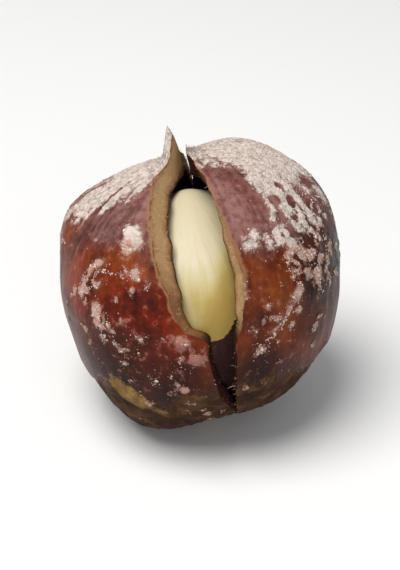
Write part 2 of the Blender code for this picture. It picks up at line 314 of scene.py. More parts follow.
def ringAmount(facing, place):
    total = 0.0
    for middle, right, up, radius, start, sweep, amount in saltRings:
        if facing.dot(middle) < 0.9:
            continue
        x, y = facing.dot(right) * nut["bodyRadius"], facing.dot(up) * nut["bodyRadius"]
        away = math.hypot(x, y) * (1 + 0.12 * wobble(place, 0.9, 3.0)) - radius
        if abs(away) > 3 * salt["ringWidth"]:
            continue
        along = (math.degrees(math.atan2(y, x)) - start) % 360
        ends = ease(min(along, sweep - along) / 25) if along < sweep else 0.0
        total += amount * ends * bell(away, salt["ringWidth"] * (1 + 0.4 * wobble(place, 0.5, 5.0)))
    return total


def sumNear(facing, rows, ragged=1.0):
    total = 0.0
    for middle, spread, amount in rows:
        away = math.degrees(math.acos(max(-1.0, min(1.0, facing.dot(middle)))))
        if away < 2.6 * spread:
            total += amount * bell(away, spread * ragged)
    return total


def flakeAmount(facing, place):  # rounded flakes, each in a cell of its own
    crowd = sumNear(facing, saltFlakes)
    if crowd < 0.06:
        return 0.0
    size, bend, seeds = salt["flakeBend"]
    bent = Vector(wobble(place, size, seed) for seed in seeds)
    where = place / salt["flakeSize"] + bend * bent
    away, middles = noise.voronoi(where)
    if 0.5 + 0.5 * noise.cell(middles[0] * 31.0) > crowd:
        return 0.0
    wide = 1.0 + 0.3 * noise.cell(middles[0] * 17.0)
    low, high = salt["flakeReach"]
    return min(0.95, 0.50 + crowd) * (1 - ease(away[0] / wide, low, high))


def saltAt(d, facing, place):  # how much crust lies here, and how dusty the skin is
    low, high, most = salt["cap"]
    amount = most * ease(facing.z, low, high) + sumNear(facing, saltPatches)
    low, high, most = salt["capDustAndSheen"]
    dustAndSheen = most * ease(facing.z, low, high) + sumNear(facing, saltDustSheen) + max(0.0, amount)
    dustAndSheen = ease(dustAndSheen + 0.25 * wobble(place, 2.3, 1.0), 0.05, 0.95)
    for size, seed, much in salt["clouds"]:
        amount += much * wobble(place, size, seed)
    turn = turnOf(d)
    streak = 0.0
    for around, down, start, much in salt["streaks"]:
        where = Vector((around * math.sin(turn), around * math.cos(turn), down * d.z + start))
        streak += much * noise.noise(where)
    amount += streak * (0.12 + sumNear(facing, saltDrips)) * ease(amount, 0.05, 0.4)
    ragged = 1 + 0.5 * wobble(place, 0.6, 7.0)
    spotted = ringAmount(facing, place) + sumNear(facing, saltSpots, ragged) + flakeAmount(facing, place)
    return ease(amount, 0.12, 1.0) + spotted, dustAndSheen


paintedSkinShade = facings((  # where painted shade darkens the skin: turn, rise, spread, amount
    (98, 6, 32, 1.20), (62, 34, 16, 0.40), (70, 8, 16, 0.35), (-98, -4, 26, 0.60),
    (-60, -4, 15, 0.50), (-36, 0, 14, 0.55), (-62, 44, 15, 0.50), (0, -60, 40, 0.85),
    (2, -30, 17, 0.60), (-12, -8, 16, 0.65), (50, 18, 14, 0.40), (22, -8, 14, 0.75),
    (40, -18, 16, 0.60), (-40, -14, 14, 0.45), (180, -10, 45, 0.35),
))
skinWarmth = facings((  # where it is more orange, or redder below 0
    (30, 24, 15, 0.60), (-28, 19, 15, -0.55), (-50, 24, 7, 0.40), (-20, 32, 6, 0.30),
))
scarGold = facings((  # where the scar is olive to gold
    (-35, -14.5, 4.5, 0.95), (-30, -19, 5, 1.0), (-25, -22, 5, 0.75), (-17, -27, 5, 0.30),
    (28, -12, 5, 0.45), (150, -45, 16, 0.6), (-120, -50, 15, 0.6), (20, -75, 14, 0.6),
))
relief = {  # the shell's fine form, in mm
    "dents": ((3.4, 0.075), (1.5, 0.022)),  # size, height
    "stripes": ((9.0, 0.026), (21.0, 0.011)),  # how many round, height
    "pleats": (24, 0.05, 7, 5),  # how many round, height, degrees from the tip, spread
    "scarGrain": ((0.55, 6.0, 0.045), (0.24, 8.0, 0.0225)),  # size, seed, height
    "scarRibs": (46, 0.04, 37, 9),  # how many round, height, degrees from the base, spread
    "lumps": (  # turn, rise, spread, height
        (-6, 8, 2.9, 0.30), (0, 1.5, 2.9, 0.30), (-9.5, 9, 2.2, 0.14), (-4, 2, 2.6, 0.12),
    ),
    "curl": (0.05, 0.35),  # how far the lips' edges turn out, and how broad this is
    "crack": (0.10, 0.20),  # width, depth
    "crackReach": (-3, 17),  # degrees past the ends of the split
}
leftLumps = facings(relief["lumps"])


def scarAt(d):  # how far this is from the base, and how far the scar's scalloped edge is, in degrees
    fromBase = math.degrees(math.acos(min(1.0, max(-1.0, -d.z))))
    turn = turnOf(d)
    edge = nut["scarAngle"]
    for height, count, start in nut["scarWaves"]:
        edge += height * math.sin(count * turn + start)
    height, count, uneven, often = nut["scarScallops"]
    edge += height * math.sin(count * turn + uneven * math.sin(often * turn))
    return fromBase, edge


def pastEnds(angle):  # how far past the split's nearer end, in degrees, below 0 in the split
    angle = angle if angle < 180 else angle - 360
    return max(backEnd - angle, angle - frontEnd)


def crackAt(angle, fromLip):  # how far this is in the hairline crack past the ends of the split
    past = pastEnds(angle)
    start, reach = relief["crackReach"]
    if past <= start:
        return 0.0
    return (1 - ease(abs(past) / reach)) * bell(fromLip, relief["crack"][0])


def outerPoint(side, angle, latitude, lipLatitude):
    level = math.cos(latitude)
    d = inHalf(side, angle, latitude)
    place = d * nut["bodyRadius"]
    radius = plainRadius(d)
    facing = opened(side, angle, level, d, radius).normalized()
    turn, grain = turnOf(d), grainOf(d)
    fromTip = math.degrees(d.angle(tipUp))
    fromBase, scarEdge = scarAt(d)
    fromLip = radius * (latitude - lipLatitude)
    gap = gapAt(angle)
    parted = ease(gap / 0.8)

    radius += nut["tipHeight"] * math.exp(-((fromTip / nut["tipAngle"]) ** nut["tipSharpness"]))
    sunk = ease(scarEdge - fromBase, 0, nut["scarEdge"])
    radius += nut["scarRim"] * bell(fromBase - scarEdge, nut["scarEdge"]) - nut["scarSink"] * sunk

    for size, height in relief["dents"]:
        radius += height * wobble(place, size, 9.0)
    clean = (1 - sunk) * ease(math.hypot(d.x, d.y), 0.05, 0.35)
    for count, height in relief["stripes"]:
        radius += height * clean * noise.noise(grain * count)
    count, height, away, spread = relief["pleats"]
    radius += height * math.cos(count * turn) * bell(fromTip - away, spread)
    for size, seed, height in relief["scarGrain"]:
        radius += sunk * height * wobble(place, size, seed)
    count, height, away, spread = relief["scarRibs"]
    ribs = math.sin(count * turn + 2 * wobble(place, 2.0, 5.0))
    radius += height * sunk * ribs * bell(fromBase - away, spread)

    height, width = relief["curl"]
    radius += height * parted * bell(fromLip, width) * (0.4 + wobble(place, 1.2, 12.0))
    lumpy = sumNear(facing, leftLumps) if side < 0 else 0.0
    radius += lumpy * (1 + 0.35 * wobble(place, 0.6, 14.0))
    cracked = crackAt(angle, fromLip)
    radius -= relief["crack"][1] * cracked * (1 - parted)

    crust, dustAndSheen = saltAt(d, facing, place)
    radius += salt["thickness"] * min(1.0, crust) * (0.75 + 0.6 * wobble(place, 0.34, 16.0))
    values = {
        "salt": crust,
        "dustAndSheen": dustAndSheen,
        "shade": sumNear(facing, paintedSkinShade),
        "warm": 0.5 + 0.45 * wobble(place, 3.2, 60.0) + sumNear(facing, skinWarmth),
        "olive": sumNear(facing, scarGold),
        "lump": lumpy,
        "scar": (scarEdge - fromBase) / 20,
        "fromLip": lipFade(side, angle, fromLip) if gap > 0.25 else 9.0,
        "crack": cracked,
        "fromTip": fromTip,
        "grain": grain * nut["bodyRadius"] * mm,
    }
    return d, radius, values


def lipFade(side, angle, fromLip):  # the lips' tan is broad right of the kernel, and gone low down
    share, start, full, fade, end = split["tanBroad"]
    broad = 1 - share * ease(angle, start, full) * (1 - ease(angle, fade, end)) if side > 0 else 1.0
    return fromLip * broad + 2 * ease(angle, *split["tanGone"])


def innerPoint(side, angle, latitude, lipLatitude):
    d = inHalf(side, angle, latitude)
    place, grain = d * nut["bodyRadius"], grainOf(d)
    radius = liningRadius(d) + 0.05 * wobble(place, 1.8, 21.0) + 0.03 * noise.noise(grain * 14)
    return d, radius, {"grain": grain * nut["bodyRadius"] * mm}


def opened(side, angle, level, d, radius):  # moves a half's point with the half, and leans the nut
    gap = gapAt(angle)
    point = d * radius
    lipSpread = split["spreadShare"] * gap / 2
    point.x += side * (split["sideSpread"] + (lipSpread - split["sideSpread"]) * level**2)
    if side < 0:
        point.z -= split["leftDrop"] * gap * level**2
    point.y *= nut["frontToBack"]
    return nutTurn @ point * mm


def bevelAt(side, angle):
    return alongStations(angle, 4 if side > 0 else 3)


def lipLatitudeAt(side, angle, radius, bevel, seed):
    gap = gapAt(angle)
    fromSeam = side * seamOffset(angle) + gap * (0.5 - bevel - split["spreadShare"] / 2)
    along = Vector((math.radians(angle) * nut["bodyRadius"], seed, 5.0 * side))
    depth = ease(gap / 0.7) * (split["innerChips"] if seed else 1.0)
    for height, length in split["chips"]:
        fromSeam += height * depth * noise.noise(along / length)
    return math.asin(fromSeam / radius)


def newNet(*columns):
    return {"points": [], "faces": [], "finishes": [], "values": {name: [] for name in columns}}


def addPoint(net, point, values={}):
    net["points"].append(point)
    for name, column in net["values"].items():
        column.append(values.get(name, (0, 0, 0) if name == "grain" else 0.0))
    return len(net["points"]) - 1


def addFace(net, corners, finish=0):
    net["faces"].append(corners)
    net["finishes"].append(finish)


def stitchRings(net, ring, after, finish=0):  # the second ring may have half as many points
    count = len(after)
    halved = len(ring) == 2 * count
    for n in range(count):
        m = (n + 1) % count
        if halved:
            middle = ring[2 * n + 1]
            addFace(net, (ring[2 * n], middle, after[n]), finish)
            addFace(net, (middle, ring[(2 * n + 2) % len(ring)], after[m]), finish)
            addFace(net, (middle, after[m], after[n]), finish)
        else:
            addFace(net, (ring[n], ring[m], after[m], after[n]), finish)


def closeRing(net, ring, pole, finish=0):
    for n, point in enumerate(ring):
        addFace(net, (point, ring[(n + 1) % len(ring)], pole), finish)


def strideAt(level):  # rings near a pole need fewer points
    return 1 if level > 0.6 else 2 if level > 0.3 else 4 if level > 0.15 else 8


def makePiece(net, name, materials, turnOut=True):
    mesh = bpy.data.meshes.new(name)
    mesh.from_pydata(net["points"], [], net["faces"])
    for material in materials:
        mesh.materials.append(material)
    mesh.polygons.foreach_set("material_index", net["finishes"])
    for column, values in net["values"].items():
        kind = "FLOAT_VECTOR" if column == "grain" else "FLOAT"
        layer = mesh.attributes.new(column, kind, "POINT")
        if kind == "FLOAT":
            layer.data.foreach_set("value", values)
        else:
            layer.data.foreach_set("vector", [c for v in values for c in v])
    mesh.shade_smooth()
    mesh.validate()
    piece = bpy.data.objects.new(name, mesh)
    bpy.context.scene.collection.objects.link(piece)
    if turnOut:
        turnFacesOut(mesh)
    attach(piece, "root")
    triangles = sum(len(p.vertices) - 2 for p in mesh.polygons)
    print(name, "has", triangles, "triangles")
    return piece


def turnFacesOut(mesh):
    work = bmesh.new()
    work.from_mesh(mesh)
    bmesh.ops.recalc_face_normals(work, faces=work.faces)
    work.to_mesh(mesh)
    work.free()


def settle(net, node, sink=None):  # moves a net so that its box lies where the frame's node lies
    low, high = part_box(node)
    points = net["points"]
    netLow, netHigh = (Vector(pick(p[i] for p in points) for i in range(3)) for pick in (min, max))
    shift = (low + high - netLow - netHigh) / 2
    if sink is not None:
        shift.z = low.z - netLow.z - sink
    net["points"] = [p + shift for p in points]


def weaveSkin(shell, pointAt, rings, angles, finish, seed):
    lips = {}
    for side in (1, -1):
        starts = []
        for angle in angles:
            d = inHalf(0, angle, 0.0)
            if finish == skin:
                starts.append(lipLatitudeAt(side, angle, plainRadius(d), 0.0, seed))
            else:
                starts.append(lipLatitudeAt(side, angle, liningRadius(d), bevelAt(side, angle), seed))
        made = []
        for n in range(rings):
            share = (n / rings) ** weave["crowding"]
            stride = strideAt(math.cos(share * math.pi / 2))
            ring = []
            for k in range(0, len(angles), stride):
                if n == 0 and gapAt(angles[k]) == 0 and -side in lips:
                    ring.append(lips[-side][k])
                    continue
                latitude = starts[k] + (math.pi / 2 - starts[k]) * share
                d, radius, values = pointAt(side, angles[k], latitude, starts[k])
                point = opened(side, angles[k], math.cos(latitude), d, radius)
                ring.append(addPoint(shell, point, values))
            made.append(ring)
        for ring, after in zip(made, made[1:]):
            stitchRings(shell, ring, after, finish)
        d, radius, values = pointAt(side, 0.0, math.pi / 2, starts[0])
        pole = addPoint(shell, opened(side, 0.0, 0.0, d, radius), values)
        closeRing(shell, made[-1], pole, finish)
        lips[side] = made[0]
    return lips


def wallShadeAt(side, angle):  # painted shade: the broken faces darken low in the split, and right of the tip
    if side < 0:
        return sum(share * ease(angle, low, high) for share, low, high in split["wallShadeLeft"])
    clears, comes = split["wallShadeRight"]
    return max(1 - ease(angle, *clears), ease(angle, *comes))


def weaveWall(shell, outer, inner, angles):  # the broken faces between the outer and inner lips
    steps, points = weave["wallSteps"], shell["points"]
    ridge, ridgePlace, ridgeSpread = split["ridge"]
    shared = {}
    for side in (1, -1):
        columns = {}
        for k, angle in enumerate(angles):
            after, before = angles[(k + 1) % len(angles)], angles[k - 1]
            gap = gapAt(angle)
            if gap == 0 and gapAt(after) == 0 and gapAt(before) == 0:
                continue
            if gap == 0 and k in shared:
                columns[k] = shared[k]
                continue
            top, bottom = points[outer[side][k]], points[inner[side][k]]
            column = [outer[side][k]]
            for n in range(1, steps):
                t = (n / steps) ** 1.2
                place = top.lerp(bottom, t)
                along = Vector((place.y, place.z, place.x)) / mm
                rough = sum(height * noise.noise(along / size) for size, height in split["tears"])
                rough += ridge * bell(t - ridgePlace, ridgeSpread) - split["hollow"] * ease(t, 0.7, 1.0)
                out = -side * rough * mm * ease(gap / 0.6) * math.sin(math.pi * t) ** 0.6
                values = {"across": t, "wallShade": wallShadeAt(side, angle), "grain": place}
                column.append(addPoint(shell, place + Vector((out, 0, 0)), values))
            column.append(inner[side][k])
            columns[k] = column
            if gap == 0:
                shared[k] = column
        for k, column in columns.items():
            m = (k + 1) % len(angles)
            if m in columns and (gapAt(angles[k]) > 0 or gapAt(angles[m]) > 0):
                for n in range(steps):
                    addFace(shell, (column[n], columns[m][n], columns[m][n + 1], column[n + 1]), brokenFace)


def makeShell(materials):
    shell = newNet("salt", "dustAndSheen", "shade", "warm", "olive", "lump", "scar", "fromLip", "crack",
                   "fromTip", "across", "wallShade", "grain")
    angles = [a + (b - a) * n / count for a, b, count in weave["runs"] for n in range(count)]
    outer = weaveSkin(shell, outerPoint, weave["outerRings"], angles, skin, 0.0)
    inner = weaveSkin(shell, innerPoint, weave["innerRings"], angles, lining, split["innerSeed"])
    weaveWall(shell, outer, inner, angles)
    for side in (1, -1):
        for angle, outerIndex, innerIndex in zip(angles, outer[side], inner[side]):
            shell["values"]["across"][innerIndex] = 1.0
            shell["values"]["wallShade"][innerIndex] = shell["values"]["wallShade"][outerIndex] = wallShadeAt(side, angle)
    settle(shell, "shell", sink=nut["flatDepth"] * mm)
    for point in shell["points"]:
        point.z = max(point.z, 0.0)  # the flat it rests on
    piece = makePiece(shell, "hazelnut_shell", materials)
    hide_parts("shell")
    return shell


kernelForm = {  # lengths in mm
    "radius": 6.95,
    "tipHeight": 0.80,
    "tipAngle": 17,
    "tipSharpness": 1.3,
    "flattening": 0.05,
    "flatteningFalloff": 4,
    "furrows": 5,
    "furrowDepth": 0.22,
    "turn": (4, -3, 20),
    "rings": 132,
    "around": 192,
    "wrinkles": ((7.0, 0.030), (16.0, 0.014)),
    "dents": ((2.6, 0.055), (1.1, 0.014)),
    "basePit": (0.16, 0.16),  # depth, spread in radians
    "divide": (0.30, 0.24, -0.07, 0.11),  # slope and height of the line between its pale left and its right half, darker in colour and in painted shade
    "bare": (9.0, 0.07, 220),  # its brown skin, nearly black as painted shade low in the split, has come off above this rise, lowest at this x
}


def makeKernel(material):
    form = kernelForm
    kernel = newNet("furrow", "paintedLight", "skinAndShade", "grain")
    turned = nutTurn @ Euler([math.radians(a) for a in form["turn"]]).to_matrix()
    rings = []
    for n in range(1, form["rings"]):
        polar = math.pi * n / form["rings"]
        stride = strideAt(math.sin(polar))
        ring = []
        for k in range(0, form["around"], stride):
            turn = 2 * math.pi * k / form["around"]
            level = math.sin(polar)
            d = Vector((level * math.cos(turn), level * math.sin(turn), math.cos(polar)))
            ring.append(kernelPoint(kernel, d, polar, turn, level, turned))
        rings.append(ring)
    for ring, after in zip(rings, rings[1:]):
        if len(after) > len(ring):
            stitchRings(kernel, after, ring)
        else:
            stitchRings(kernel, ring, after)
    for ring, z in ((rings[0], 1.0), (rings[-1], -1.0)):
        d = Vector((0, 0, z))
        polar = 0.0 if z > 0 else math.pi
        closeRing(kernel, ring, kernelPoint(kernel, d, polar, 0.0, 0.0, turned))
    settle(kernel, "kernel")
    piece = makePiece(kernel, "hazelnut_kernel", [material])
    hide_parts("kernel")


def kernelPoint(kernel, d, polar, turn, level, turned):
    form = kernelForm
    place = d * form["radius"]
    tip = form["tipHeight"] * math.exp(-((math.degrees(polar) / form["tipAngle"]) ** form["tipSharpness"]))
    flattening = form["flattening"] * max(-d.z, 0.0) ** form["flatteningFalloff"]
    valley = (0.5 + 0.5 * math.cos(form["furrows"] * turn)) ** 2
    radius = form["radius"] * (1 - flattening) + tip - form["furrowDepth"] * level**2 * valley
    grain = Vector((math.cos(turn), math.sin(turn), 0.16 * d.z))
    for count, height in form["wrinkles"]:
        radius += height * ease(level, 0.05, 0.5) * noise.noise(grain * count)
    for size, height in form["dents"]:
        radius += height * wobble(place, size, 30.0)
    depth, spread = form["basePit"]
    radius -= depth * bell(math.pi - polar, spread)
    facing = turned @ d
    slope, middle, left, right = form["divide"]
    divide = facing.x - slope * (facing.z - middle) + 0.03 * wobble(place, 1.4, 35.0)
    divide = ease(divide, left, right)
    # painted light: paler towards the top, darker past the dividing line on the right
    paintedLight = 0.58 + 0.22 * wobble(place, 4.5, 33.0) - 0.30 * divide + 0.50 * (facing.z - 0.4)
    rise, middle, curve = form["bare"]
    rise += curve * (facing.x - middle) ** 2 + 2.5 * wobble(place, 1.2, 40.0)
    skinAndShade = ease(rise - math.degrees(math.asin(max(-1.0, min(1.0, facing.z)))), -1.5, 2.0)
    values = {"furrow": level * valley, "paintedLight": paintedLight, "skinAndShade": skinAndShade}
    values["grain"] = grain * form["radius"] * mm
    return addPoint(kernel, turned @ (d * radius) * mm, values)


def nodeIn(tree, kind, inputs={}, **settings):
    made = tree.nodes.new(kind)
    for name, value in settings.items():
        setattr(made, name, value)
    for name, value in inputs.items():
        if isinstance(value, bpy.types.NodeSocket):
            tree.links.new(value, made.inputs[name])
        else:
            made.inputs[name].default_value = value
    return made


def mixOf(tree, share, first, second, how="MIX"):
    inputs = {0: share, 6: first, 7: second}
    return nodeIn(tree, "ShaderNodeMix", inputs, data_type="RGBA", blend_type=how).outputs[2]


def mathOf(tree, how, first, second=0.0):
    return nodeIn(tree, "ShaderNodeMath", {0: first, 1: second}, operation=how).outputs[0]


def sumOf(tree, *terms):  # adds up values, each times its weight
    total = None
    for value, weight in terms:
        term = mathOf(tree, "MULTIPLY", value, weight)
        total = term if total is None else mathOf(tree, "ADD", total, term)
    return total


def between(tree, value, low, high, outLow=0.0, outHigh=1.0):
    inputs = {"Value": value, "From Min": low, "From Max": high, "To Min": outLow, "To Max": outHigh}
    return nodeIn(tree, "ShaderNodeMapRange", inputs, interpolation_type="SMOOTHSTEP").outputs[0]


def noiseOf(tree, where, size, detail=2.0, rough=0.5):  # size in mm
    inputs = {"Vector": where, "Scale": 1 / (size * mm), "Detail": detail, "Roughness": rough}
    return nodeIn(tree, "ShaderNodeTexNoise", inputs).outputs["Fac"]


def flakesOf(tree, where, size):  # 0 in the gaps between flakes of a crust, 1 on them
    inputs = {"Vector": where, "Scale": 1 / (size * mm), "Detail": 2.0}
    bent = nodeIn(tree, "ShaderNodeTexNoise", inputs).outputs["Color"]
    inputs = {0: bent, 1: (0.55 * size * mm,) * 3, 2: where}
    where = nodeIn(tree, "ShaderNodeVectorMath", inputs, operation="MULTIPLY_ADD").outputs[0]
    inputs = {"Vector": where, "Scale": 1 / (size * mm)}
    cells = nodeIn(tree, "ShaderNodeTexVoronoi", inputs, feature="DISTANCE_TO_EDGE").outputs["Distance"]
    return between(tree, cells, 0.03, 0.20)


def rampOf(tree, value, stops):
    ramp = nodeIn(tree, "ShaderNodeValToRGB", {"Fac": value})
    elements = ramp.color_ramp.elements
    while len(elements) < len(stops):
        elements.new(0.5)
    for element, (position, colour) in zip(elements, stops):
        element.position = position
        element.color = (*colour, 1)
    return ramp.outputs["Color"]


def storedValue(tree, name):
    return nodeIn(tree, "ShaderNodeAttribute", attribute_name=name).outputs["Fac"]


def storedPlace(tree, name):
    return nodeIn(tree, "ShaderNodeAttribute", attribute_name=name).outputs["Vector"]


def startMaterial(name):
    material = bpy.data.materials.new(name)
    material.use_nodes = True
    tree = material.node_tree
    tree.nodes.clear()
    shader = nodeIn(tree, "ShaderNodeBsdfPrincipled")
    nodeIn(tree, "ShaderNodeOutputMaterial", {"Surface": shader.outputs[0]})
    place = nodeIn(tree, "ShaderNodeTexCoord").outputs["Object"]
    return material, tree, shader, place


def finishMaterial(tree, shader, colour, rough, height, depth):  # depth of the bump in mm
    bump = nodeIn(tree, "ShaderNodeBump", {"Height": height, "Distance": depth * mm, "Strength": 1.0})
    for name, value in (("Base Color", colour), ("Roughness", rough), ("Normal", bump.outputs[0])):
        if isinstance(value, bpy.types.NodeSocket):
            tree.links.new(value, shader.inputs[name])
        else:
            shader.inputs[name].default_value = value


skinLook = {
    "red": (
        (0.36, (0.032, 0.004, 0.002)), (0.45, (0.092, 0.009, 0.003)), (0.54, (0.195, 0.017, 0.004)),
        (0.66, (0.290, 0.042, 0.008)),
    ),
    "orange": (
        (0.36, (0.045, 0.008, 0.002)), (0.45, (0.110, 0.017, 0.003)), (0.54, (0.190, 0.034, 0.004)),
        (0.66, (0.280, 0.066, 0.007)),
    ),
    "stripe": 0.8,  # sizes in mm
    "fineStripe": 0.22,
    "blotch": 2.6,
    "patch": 1.3,
    "cloud": 0.9,
    "mid": 0.45,
    "crumb": 0.30,
    "fine": 0.13,
    # mauve of the dust film, partly a painted sheen of the overhead light on the upper faces
    "dustSheen": (0.290, 0.150, 0.135, 1),
    "dustSheenDark": (0.135, 0.055, 0.052, 1),
    "dustSheenMost": 0.85,
    "shadeMost": 0.82,
    "lump": (0.330, 0.145, 0.112, 1),
    "saltThin": (0.48, 0.262, 0.200, 1),
    "saltThick": (0.72, 0.62, 0.56, 1),
    "saltGrey": (0.40, 0.36, 0.30, 1),
    "saltFlake": 0.55,
    "down": (0.26, 0.18, 0.12, 1),
    "lipTan": (0.30, 0.135, 0.066, 1),
    # painted shade: the hairline crack's near black stands for the shade inside it
    "crack": (0.016, 0.005, 0.004, 1),
    # the scar's own dark brown, made darker still as painted shade on the underside
    "scarDarkAndShade": (
        (0.36, (0.012, 0.004, 0.002)), (0.50, (0.042, 0.015, 0.005)), (0.66, (0.115, 0.052, 0.019)),
    ),
    "scarGold": (
        (0.36, (0.060, 0.030, 0.010)), (0.50, (0.200, 0.112, 0.034)), (0.66, (0.360, 0.235, 0.085)),
    ),
    "gloss": 0.34,
    "shine": 0.15,
    "bump": 0.055,
}


def skinMaterial():
    look = skinLook
    material, tree, shader, place = startMaterial("roasted_skin")
    shader.inputs["Specular IOR Level"].default_value = look["shine"]
    grain = storedPlace(tree, "grain")
    salted = storedValue(tree, "salt")
    stripes = noiseOf(tree, grain, look["stripe"], 3)
    fineStripes = noiseOf(tree, grain, look["fineStripe"], 2)
    blotches = noiseOf(tree, place, look["blotch"], 3)
    fine = noiseOf(tree, place, look["fine"], 4, 0.6)
    mid = noiseOf(tree, place, look["mid"], 3, 0.55)

    tone = sumOf(tree, (stripes, 0.16), (blotches, 0.60), (mid, 0.24))
    warm = between(tree, storedValue(tree, "warm"), 0.1, 0.9)
    colour = mixOf(tree, warm, rampOf(tree, tone, look["red"]), rampOf(tree, tone, look["orange"]))
    # painted shade from the stored spots, broken up by the blotches
    shade = sumOf(tree, (storedValue(tree, "shade"), 1.0), (blotches, 0.4), (0.5, -0.4))
    shade = between(tree, shade, 0.0, 1.0, 1.0, 1 - look["shadeMost"])
    colour = mixOf(tree, 1.0, colour, shade, "MULTIPLY")

    # dust film and painted sheen, strongest on the upper faces
    dustAndSheen = sumOf(tree, (storedValue(tree, "dustAndSheen"), 1.0), (mid, 0.5), (stripes, 0.3), (0.5, -0.8))
    dustSheenShare = mathOf(tree, "MULTIPLY", between(tree, dustAndSheen, -0.05, 1.0), look["dustSheenMost"])
    dustSheenShare = sumOf(tree, (dustSheenShare, 1.0), (between(tree, salted, 0.0, 1.0), 0.25))
    dustSheenShare = mathOf(tree, "MULTIPLY", dustSheenShare, between(tree, fine, 0.25, 0.75, 0.70, 1.1))
    dustSheenShare = mathOf(tree, "MULTIPLY", dustSheenShare, between(tree, blotches, 0.34, 0.60, 0.45, 1.1))
    clouds = sumOf(tree, (noiseOf(tree, grain, look["cloud"], 4, 0.6), 0.6), (mid, 0.4))
    dustSheenColour = mixOf(tree, between(tree, clouds, 0.40, 0.58), look["dustSheenDark"], look["dustSheen"])
    # the painted shade darkens the dust film's colour too
    dustSheenColour = mixOf(tree, 0.75, dustSheenColour, shade, "MULTIPLY")
    colour = mixOf(tree, dustSheenShare, colour, dustSheenColour)
    lump = sumOf(tree, (storedValue(tree, "lump"), 1.0), (mid, 0.60), (fine, 0.20), (0.5, -0.80))
    lump = between(tree, lump, 0.05, 0.19)
    colour = mixOf(tree, mathOf(tree, "MULTIPLY", lump, 0.9), colour, look["lump"])

    downy = between(tree, storedValue(tree, "fromTip"), 14, 3)
    downy = mathOf(tree, "MULTIPLY", downy, between(tree, fineStripes, 0.25, 0.6, 0.35, 1.0))
    colour = mixOf(tree, downy, colour, look["down"])

    patches = noiseOf(tree, place, look["patch"], 3, 0.6)
    scarTone = sumOf(tree, (patches, 0.55), (mid, 0.25), (fine, 0.20))
    olive = storedValue(tree, "olive")
    gold = sumOf(tree, (olive, 1.0), (patches, 1.3), (0.5, -1.3))
    gold = between(tree, gold, 0.20, 0.60)
    scarColour = (rampOf(tree, scarTone, look[name]) for name in ("scarDarkAndShade", "scarGold"))
    scarColour = mixOf(tree, gold, *scarColour)
    scar = sumOf(tree, (storedValue(tree, "scar"), 1.0), (patches, 0.9), (mid, 0.5), (olive, 0.60))
    scar = between(tree, scar, 0.60, 0.80)
    colour = mixOf(tree, scar, colour, scarColour)

    edge = sumOf(tree, (storedValue(tree, "fromLip"), 1.0), (mid, -0.42))
    edge = between(tree, edge, -0.16, 0.04, 1.0, 0.0)
    colour = mixOf(tree, mathOf(tree, "MULTIPLY", edge, 0.8), colour, look["lipTan"])

    crumbs = noiseOf(tree, place, look["crumb"], 3, 0.6)
    flakes = flakesOf(tree, place, look["saltFlake"])
    film = sumOf(tree, (salted, 1.30), (crumbs, 1.15), (fine, 0.75), (flakes, 0.45))
    film = sumOf(tree, (film, 1.0), (noiseOf(tree, grain, look["cloud"], 3, 0.6), 0.9), (0.5, -0.9))
    film = between(tree, film, 1.62, 2.50)
    film = mathOf(tree, "MULTIPLY", film, between(tree, salted, 0.03, 0.22))
    thick = sumOf(tree, (salted, 0.20), (crumbs, 0.9), (fine, 0.4), (storedValue(tree, "dustAndSheen"), 0.80))
    saltColour = mixOf(tree, between(tree, thick, 0.90, 1.60), look["saltThin"], look["saltThick"])
    saltColour = mixOf(tree, between(tree, mid, 0.52, 0.34, 0, 0.80), saltColour, look["saltGrey"])
    colour = mixOf(tree, mathOf(tree, "MULTIPLY", film, 0.92), colour, saltColour)

    # painted shade inside the hairline crack
    cracked = between(tree, storedValue(tree, "crack"), 0.12, 0.6)
    colour = mixOf(tree, cracked, colour, look["crack"])

    rough = between(tree, stripes, 0.3, 0.7, look["gloss"] + 0.10, look["gloss"])
    rough = sumOf(tree, (rough, 1.0), (dustSheenShare, 0.22))
    dull = mathOf(tree, "MULTIPLY", mathOf(tree, "MAXIMUM", film, scar), 0.85)
    rough = mathOf(tree, "MAXIMUM", rough, dull)
    crumble = mathOf(tree, "MULTIPLY", film, sumOf(tree, (fine, 0.9), (flakes, 0.6)))
    pitted = mathOf(tree, "MULTIPLY", scar, patches)
    relief = sumOf(tree, (fineStripes, 0.35), (fine, 0.16), (crumble, 1.0), (pitted, 1.2))
    finishMaterial(tree, shader, colour, rough, relief, look["bump"])
    return material


wallLook = {
    "layers": (  # from the outer lip to the inner one
        (0.00, (0.170, 0.072, 0.032)), (0.07, (0.360, 0.195, 0.088)), (0.24, (0.470, 0.285, 0.135)),
        (0.62, (0.480, 0.290, 0.135)), (0.84, (0.330, 0.175, 0.078)), (1.00, (0.160, 0.072, 0.036)),
    ),
    "pale": (0.60, 0.41, 0.22, 1),
    "dark": (0.24, 0.12, 0.052, 1),
    # painted shade on the broken faces: a ruddy half shade, then near black
    "wallHalfShade": (0.190, 0.070, 0.026, 1),
    "wallShade": (0.026, 0.005, 0.003, 1),
    "coarse": 0.40,  # sizes in mm
    "fine": 0.11,
    "shine": 0.12,
    "gloss": 0.82,
    "bump": 0.07,
}
liningLook = {
    "fibre": 0.45,  # sizes in mm
    "fine": 0.14,
    "gloss": 0.88,
    "bump": 0.08,
    "tones": (
        (0.30, (0.018, 0.007, 0.005)), (0.50, (0.052, 0.020, 0.013)), (0.66, (0.115, 0.052, 0.032)),
    ),
}


